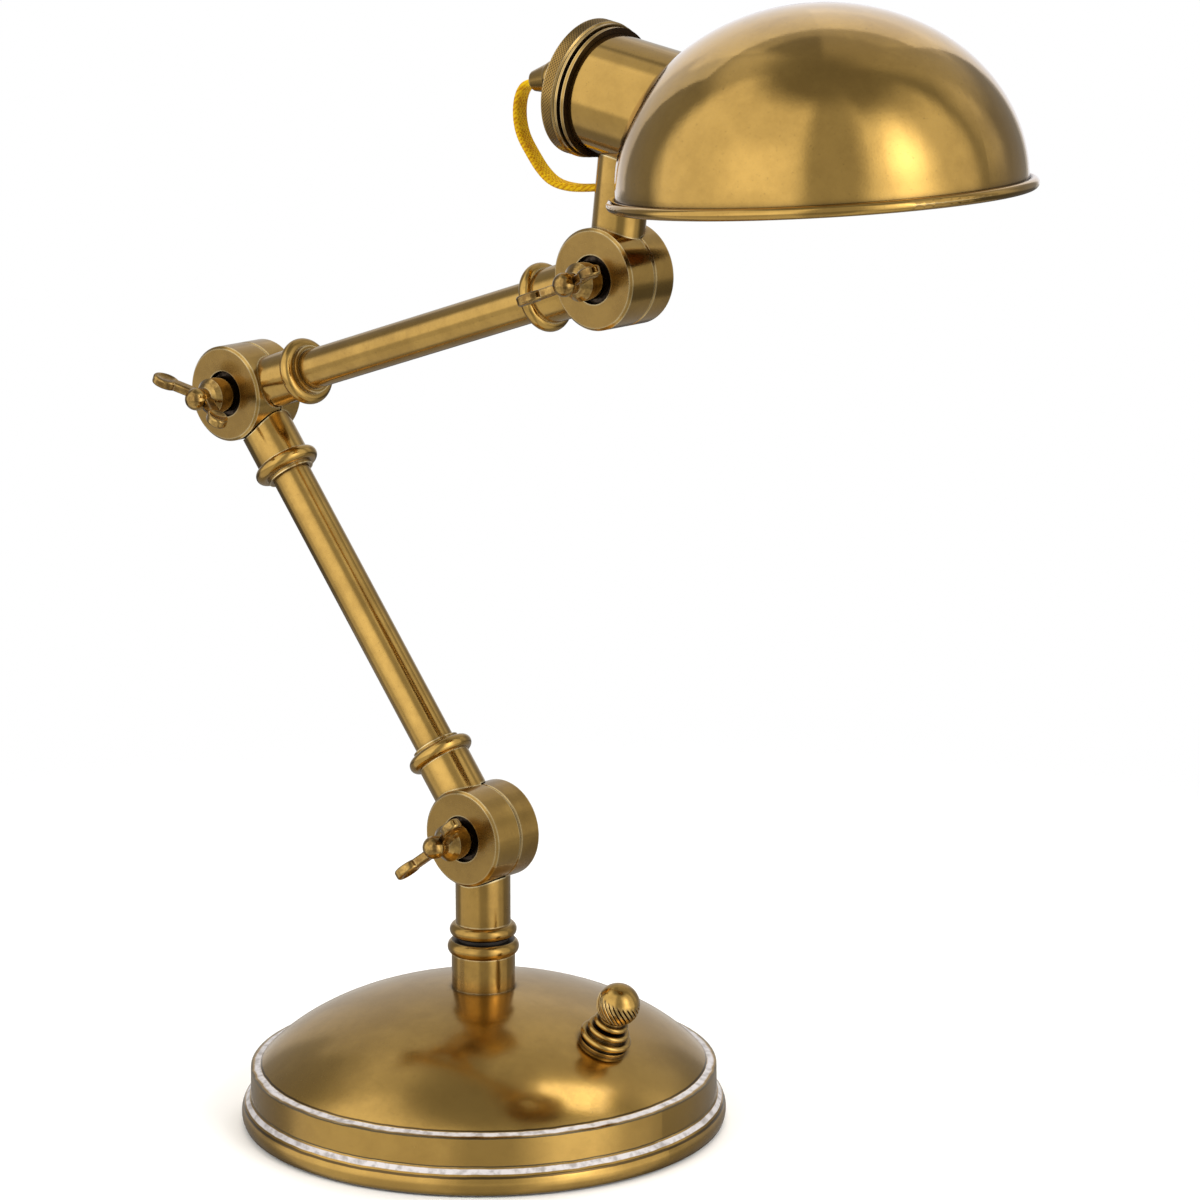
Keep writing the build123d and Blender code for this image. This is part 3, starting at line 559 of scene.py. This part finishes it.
def dark_moulding(name, light, dark, polish):
    material, tree = fresh_material(name)
    spot = add_node(tree, "ShaderNodeTexCoord").outputs["Object"]
    dust = noise(tree, spot, dust_scale, detail=4.0)
    grain = noise(tree, spot, moulding_grain_scale, detail=2.0)
    rough = sums(tree, "MULTIPLY_ADD", dust, dust_roughness, polish)
    relief = add_node(
        tree, "ShaderNodeBump", Strength=moulding_relief, Distance=moulding_grain_depth, Height=grain,
    )
    skin = add_node(
        tree, "ShaderNodeBsdfPrincipled",
        Base_Color=blended(tree, ramp(tree, dust, *dust_tones), dark, light),
        Roughness=rough, Normal=relief.outputs[0],
    )
    show(tree, skin)
    return material


black_rubber = dark_moulding("black_rubber", rubber_light, rubber_dark, polish=0.6)
dress(black_rubber, "cord_bush")
brown_moulding = dark_moulding("brown_moulding", moulding_light, moulding_dark, polish=0.4)
dress(
    brown_moulding,
    "swivel_washer", "switch_body", "base_friction_disc", "elbow_friction_disc", "head_friction_disc",
    "lower_lead_bushes", "upper_lead_bushes", "lamp_socket", "socket_ring",
)


# Stem and arms: the post, the swivelling neck, the knuckle halves with their collars and the two tubes.
# All are turned or drawn from brass bar and tube, aged as the base is, and paler on their beads and rims,
# partly rubbed bright and partly as painted highlight. The flat faces of the knuckles, 10 mm each way from
# the middle, are left dull.
# A darker copy of the brass colours for the stem post and neck: painted shade.
shaded_stem_gold = (0.46, 0.278, 0.066)
shaded_stem_brown = (0.34, 0.2, 0.045)
dull_brown = (0.13, 0.078, 0.026)
dull_share = 0.48
dull_roughness = 0.1
flat_span = (0.98, 0.995)
knuckle_face = (0.0099, 0.0101, 0.00005)


def dull_faces(tree, spot, metal, colour, rough):
    aim = add_node(tree, "ShaderNodeNewGeometry").outputs["Normal"]
    facing = add_node(tree, "ShaderNodeSeparateXYZ", Vector=aim).outputs["Y"]
    out = add_node(tree, "ShaderNodeSeparateXYZ", Vector=spot).outputs["Y"]
    flat = ramp(tree, sums(tree, "ABSOLUTE", facing), *flat_span)
    end = between(tree, sums(tree, "ABSOLUTE", out), *knuckle_face)
    face = sums(tree, "MULTIPLY", flat, end)
    dulled = blended(tree, sums(tree, "MULTIPLY", face, dull_share), colour, dull_brown)
    tree.links.new(dulled, metal.inputs["Base Color"])
    tree.links.new(sums(tree, "MULTIPLY_ADD", face, dull_roughness, rough), metal.inputs["Roughness"])


# The stem post and neck take the darker copy, as painted shade.
shaded_stem_brass = aged_brass("shaded_stem_brass", shaded_stem_gold, shaded_stem_brown, polish=0.14, cloud=70.0, feature=dull_faces)
dress(shaded_stem_brass, "stem_post", "stem_neck")
turned_brass = aged_brass("turned_brass", gold, brown, polish=0.13, cloud=70.0, feature=dull_faces)
dress(
    turned_brass,
    "lower_arm_foot", "lower_arm_top", "upper_arm_foot", "upper_arm_top", "head_post",
    "lower_arm_tube", "upper_arm_tube",
)
dress(yellow_braid, "lower_arm_lead", "upper_arm_lead")


# Knuckle screws and wing nuts: steel pivot screws and washers, coloured very dark as painted shade in
# their recesses, and cast brass nuts with dished ears. The nuts are browner and darker in their hollows,
# partly for patina and partly as painted shade, and paler on their edges, partly where fingers rub them
# and partly as painted highlight.
shaded_screw_light = (0.08, 0.06, 0.045)
shaded_screw_dark = (0.03, 0.022, 0.016)
# The nuts' brown is darkened: partly patina, partly painted shade under them.
nut_gold = (0.56, 0.355, 0.1)
nut_patina_and_shade_brown = (0.2, 0.11, 0.026)
shade_dark_steel = plain_metal("shade_dark_steel", shaded_screw_light, shaded_screw_dark, polish=0.4, scale=600.0)
dress(
    shade_dark_steel,
    "base_pivot_screw", "elbow_pivot_screw", "head_pivot_screw",
    "base_nut_washer", "elbow_nut_washer", "head_nut_washer",
)
cast_brass = aged_brass("cast_brass", nut_gold, nut_patina_and_shade_brown, polish=0.09, cloud=190.0, wear_and_highlight=0.35)
dress(cast_brass, "base_wing_nut", "elbow_wing_nut", "head_wing_nut")


# Switch: a turned washer and a ringed nut clamped on the crown, and a turned brass knob on the switch's
# shaft. The knob's ball is cut with slanting grooves on its lower half, and old brown wax has stayed in
# them. Its heights are counted along the switch's axis from the crown.
switch_place = Vector(joint["switch_turn"]["pos_m"])
switch_lean = Vector(joint["switch_turn"]["axis"]).to_track_quat("Z", "Y").to_euler()
ball_radius = 0.0067
ball_middle = 0.0148
waist_radius = 0.0042
collar_radius = 0.0055
collar_low = 0.007
collar_high = 0.0089
shaft_radius = 0.003
shaft_end = -0.0021
knob_sides = 96
ball_rings = 48
collar_steps = 8
groove_count = 24
groove_slant = 150.0
groove_low = 0.0104
groove_high = 0.0172
groove_depth = 0.00022
groove_taper = 0.0007
groove_edge = 0.9
groove_wax_span = (0.3, 0.95)
groove_fade = 0.0005
trim = 0.0001
touching = 0.00001
smooth_angle = math.radians(24.0)


def select_spots(piece, wanted):
    bpy.ops.mesh.select_all(action="DESELECT")
    bpy.ops.object.mode_set(mode="OBJECT")
    for spot in piece.data.vertices:
        spot.select = wanted(spot.co)
    bpy.ops.object.mode_set(mode="EDIT")
    bpy.ops.mesh.select_mode(type="VERT")


def extrude_along(profile, ring_radius, ring_height):
    for radius, height in profile:
        rise = (0.0, 0.0, height - ring_height)
        share = radius / ring_radius
        bpy.ops.mesh.extrude_region_move(TRANSFORM_OT_translate={"value": rise})
        bpy.ops.transform.resize(value=(share, share, 1.0), center_override=(0.0, 0.0, height))
        ring_radius, ring_height = radius, height


def smooth_and_place(piece, place, lean):
    bpy.ops.mesh.select_all(action="SELECT")
    bpy.ops.mesh.normals_make_consistent(inside=False)
    bpy.ops.object.mode_set(mode="OBJECT")
    bpy.ops.object.shade_smooth_by_angle(angle=smooth_angle)
    piece.location = place
    piece.rotation_euler = lean
    bpy.ops.object.transform_apply(location=True, rotation=True, scale=True)


def in_groove(spot, margin):
    if not groove_low + margin < spot.z < groove_high - margin:
        return False
    turn = math.atan2(spot.y, spot.x) + groove_slant * (spot.z - groove_low)
    return math.cos(groove_count * turn) > groove_edge


bpy.ops.object.select_all(action="DESELECT")
bpy.ops.mesh.primitive_uv_sphere_add(
    segments=knob_sides, ring_count=ball_rings, radius=ball_radius, location=(0.0, 0.0, ball_middle),
)
grooved_knob = bpy.context.object
grooved_knob.name = "grooved_knob"
bpy.ops.object.transform_apply(location=True, rotation=False, scale=False)
bpy.ops.object.mode_set(mode="EDIT")
bpy.ops.mesh.select_mode(type="VERT")
ball_low = ball_middle - math.sqrt(ball_radius ** 2 - waist_radius ** 2)
select_spots(grooved_knob, lambda spot: spot.z < ball_low + trim)
bpy.ops.mesh.delete(type="VERT")
bpy.ops.object.mode_set(mode="OBJECT")
lowest = min(spot.co.z for spot in grooved_knob.data.vertices)
bpy.ops.object.mode_set(mode="EDIT")
select_spots(grooved_knob, lambda spot: spot.z < lowest + touching)
collar_half = (collar_high - collar_low) / 2
collar_root = collar_radius - collar_half
knob_profile = [(waist_radius, ball_low), (waist_radius, collar_high)]
for step in range(collar_steps + 1):
    turn = math.pi * (0.5 - step / collar_steps)
    knob_profile.append((
        collar_root + collar_half * math.cos(turn),
        collar_low + collar_half + collar_half * math.sin(turn),
    ))
knob_profile += [(shaft_radius, collar_low), (shaft_radius, shaft_end)]
extrude_along(knob_profile, math.sqrt(ball_radius ** 2 - (lowest - ball_middle) ** 2), lowest)
bpy.ops.mesh.edge_face_add()
for ring in range(1, ball_rings):
    height = ball_middle + ball_radius * math.cos(math.pi * ring / ball_rings)
    if height > groove_low:
        twist = groove_slant * (min(height, groove_high) - groove_low)
        select_spots(grooved_knob, lambda spot: abs(spot.z - height) < touching)
        bpy.ops.transform.rotate(value=twist, orient_axis="Z", center_override=(0.0, 0.0, height))
for margin in (0.0, groove_taper):
    select_spots(grooved_knob, lambda spot: in_groove(spot, margin))
    bpy.ops.transform.shrink_fatten(value=-groove_depth)
smooth_and_place(grooved_knob, switch_place, switch_lean)
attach(grooved_knob, "switch")
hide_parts("switch_knob")


def axis_parts(tree, spot, place, lean):
    laid = add_node(
        tree, "ShaderNodeMapping", {"vector_type": "TEXTURE"},
        Vector=spot, Location=place, Rotation=lean,
    )
    parts = add_node(tree, "ShaderNodeSeparateXYZ", Vector=laid.outputs[0])
    turn = sums(tree, "ARCTAN2", parts.outputs["Y"], parts.outputs["X"])
    return turn, parts.outputs["Z"]


def waxed_grooves(tree, spot, metal, colour, rough):
    turn, height = axis_parts(tree, spot, switch_place, switch_lean)
    slant = sums(tree, "MULTIPLY_ADD", height, groove_slant, -groove_slant * groove_low)
    phase = sums(tree, "MULTIPLY", sums(tree, "ADD", turn, slant), float(groove_count))
    cut = ramp(tree, sums(tree, "COSINE", phase), *groove_wax_span)
    grooved = sums(tree, "MULTIPLY", cut, between(tree, height, groove_low, groove_high, groove_fade))
    waxed = blended(tree, sums(tree, "MULTIPLY", grooved, wax_and_shadow_share), colour, patina_and_shade_brown)
    tree.links.new(waxed, metal.inputs["Base Color"])


knob_brass = aged_brass(
    "knob_brass", gold, brown, polish=0.14, cloud=160.0, feature=waxed_grooves, wear_and_highlight=0.3,
)
grooved_knob.data.materials.append(knob_brass)
dress(knob_brass, "switch_knob")
dress(turned_brass, "switch_washer", "switch_nut")


# Socket neck and ringed cap: a drawn tube, and a turned cap screwed over its back, its rim milled with
# fine diamonds for the fingers, with dark wax in their valleys, and its front face and groove coloured
# very dark, partly for old patina and partly as painted shade. The shade's axis stands on the head in
# millimetres;
# distances back along the neck are counted from it, in metres.
shade_reach = 79.7
rim_height = 23.4
socket_axis_height = 11.1
neck_slope = math.radians(14.0)
neck_start = on_head(shade_reach, rim_height + socket_axis_height)
neck_way = head_turn @ Vector((-math.cos(neck_slope), 0.0, math.sin(neck_slope)))
neck_lean = neck_way.to_track_quat("Z", "Y").to_euler()
cap_front = 0.0803
cap_floor = 0.0835
cap_inner_back = 0.0886
cap_back = 0.0902
cap_bore = 0.01775
cap_hollow = 0.0162
spigot_bore = 0.00405
front_ring = 0.0194
groove_floor = 0.0184
groove_span = (0.0816, 0.0825)
bezel_ring = 0.02
bezel_end = 0.0834
fine_line = 0.0196
rim_span = (0.0837, 0.0887)
rim_shoulder = 0.0199
rim_ring = 0.0204
back_ring = 0.017
mill_low = 0.0842
mill_high = 0.0882
mill_rows = 8
mill_sides = 240
mill_depth = 0.0002
mill_step = (mill_high - mill_low) / mill_rows
mill_fade = 0.0002
valley_span = (-0.4, 0.8)
valley_wax = 0.65
rim_wax = 0.2
# Very dark bands on the cap's front face and groove: partly old patina, partly painted shade.
dark_patina_and_shade_bands = ((0.08, 0.0804, 0.00005), (0.0817, 0.08245, 0.0001))
black_roughness = 0.3
cap_profile = [
    (front_ring, cap_front), (front_ring, groove_span[0]),
    (groove_floor, groove_span[0]), (groove_floor, groove_span[1]),
    (bezel_ring, groove_span[1]), (bezel_ring, bezel_end),
    (fine_line, bezel_end), (fine_line, rim_span[0]), (rim_shoulder, rim_span[0]),
]
cap_profile += [(rim_ring, mill_low + mill_step * row) for row in range(mill_rows + 1)]
cap_profile += [
    (rim_shoulder, rim_span[1]), (back_ring, cap_back), (spigot_bore, cap_back),
    (spigot_bore, cap_inner_back), (cap_hollow, cap_inner_back),
    (cap_hollow, cap_floor), (cap_bore, cap_floor), (cap_bore, cap_front),
]


def in_valley(spot):
    if abs(math.hypot(spot.x, spot.y) - rim_ring) > touching:
        return False
    side = round(math.atan2(spot.y, spot.x) * mill_sides / (2 * math.pi))
    row = round((spot.z - mill_low) / mill_step)
    return 0 < row < mill_rows and (side + row) % 2 == 1


bpy.ops.object.select_all(action="DESELECT")
bpy.ops.mesh.primitive_circle_add(vertices=mill_sides, radius=cap_bore, location=(0.0, 0.0, cap_front))
milled_cap = bpy.context.object
milled_cap.name = "milled_cap"
bpy.ops.object.transform_apply(location=True, rotation=False, scale=False)
bpy.ops.object.mode_set(mode="EDIT")
bpy.ops.mesh.select_mode(type="VERT")
bpy.ops.mesh.select_all(action="SELECT")
extrude_along(cap_profile, cap_bore, cap_front)
bpy.ops.mesh.select_all(action="SELECT")
bpy.ops.mesh.remove_doubles(threshold=touching)
select_spots(milled_cap, in_valley)
sunk = 1.0 - mill_depth / rim_ring
bpy.ops.transform.resize(value=(sunk, sunk, 1.0), center_override=(0.0, 0.0, 0.0))
smooth_and_place(milled_cap, neck_start, neck_lean)
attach(milled_cap, "head")
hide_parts("socket_cap")


def waxed_and_shaded_milling(tree, spot, metal, colour, rough):
    turn, back = axis_parts(tree, spot, neck_start, neck_lean)
    around = sums(tree, "COSINE", sums(tree, "MULTIPLY", turn, mill_sides / 2))
    rows = sums(tree, "MULTIPLY_ADD", back, math.pi / mill_step, -math.pi * mill_low / mill_step)
    peak = sums(tree, "MULTIPLY", around, sums(tree, "COSINE", rows))
    valley = ramp(tree, sums(tree, "MULTIPLY", peak, -1.0), *valley_span)
    waxed = sums(tree, "MULTIPLY_ADD", valley, valley_wax, rim_wax)
    waxed = sums(tree, "MULTIPLY", waxed, between(tree, back, mill_low, mill_high, mill_fade))
    # Very dark: wax in the milling, and patina with painted shade on the front face and groove.
    patina_and_shade_mask = sums(tree, "MAXIMUM", any_band(tree, back, dark_patina_and_shade_bands), waxed)
    tree.links.new(blended(tree, patina_and_shade_mask, colour, patina_and_shade_brown), metal.inputs["Base Color"])
    tree.links.new(sums(tree, "MULTIPLY_ADD", patina_and_shade_mask, black_roughness, rough), metal.inputs["Roughness"])


cap_brass = aged_brass(
    "cap_brass", gold, brown, polish=0.16, cloud=90.0, feature=waxed_and_shaded_milling, wear_and_highlight=0.5,
)
milled_cap.data.materials.append(cap_brass)
dress(cap_brass, "socket_cap")
dress(turned_brass, "lead_bush")
spun_brass = aged_brass("spun_brass", gold, brown, polish=0.05, cloud=30.0)
dress(spun_brass, "socket_neck")


# Shade and rim: a half-round bowl spun from sheet brass, with a rolled ring round its mouth.
# It sits on the front of the socket neck, taken as soldered there, and has the same bright finish.
dress(spun_brass, "shade", "shade_rim")


# Bulb: a small pearl glass lamp on a plated screw cap, turned into the socket inside the shade.
# The glass is milky, so only a little light goes straight through it.
milk_light = (0.95, 0.94, 0.9)
milk_dark = (0.86, 0.85, 0.8)
milk_scale = 90.0
milk_tones = (0.3, 0.7)
milk_roughness = 0.1
glass_roughness = 0.14
glass_index = 1.5
clear_share = 0.25
pearl_glass, tree = fresh_material("pearl_glass")
spot = add_node(tree, "ShaderNodeTexCoord").outputs["Object"]
milk = noise(tree, spot, milk_scale, detail=3.0)
pearl = add_node(
    tree, "ShaderNodeBsdfPrincipled",
    Base_Color=blended(tree, ramp(tree, milk, *milk_tones), milk_dark, milk_light),
    Roughness=sums(tree, "MULTIPLY_ADD", milk, milk_roughness, glass_roughness),
)
pearl.inputs["Transmission Weight"].default_value = clear_share
pearl.inputs["IOR"].default_value = glass_index
show(tree, pearl)
dress(pearl_glass, "bulb_glass")
dress(zinc_steel, "bulb_cap")
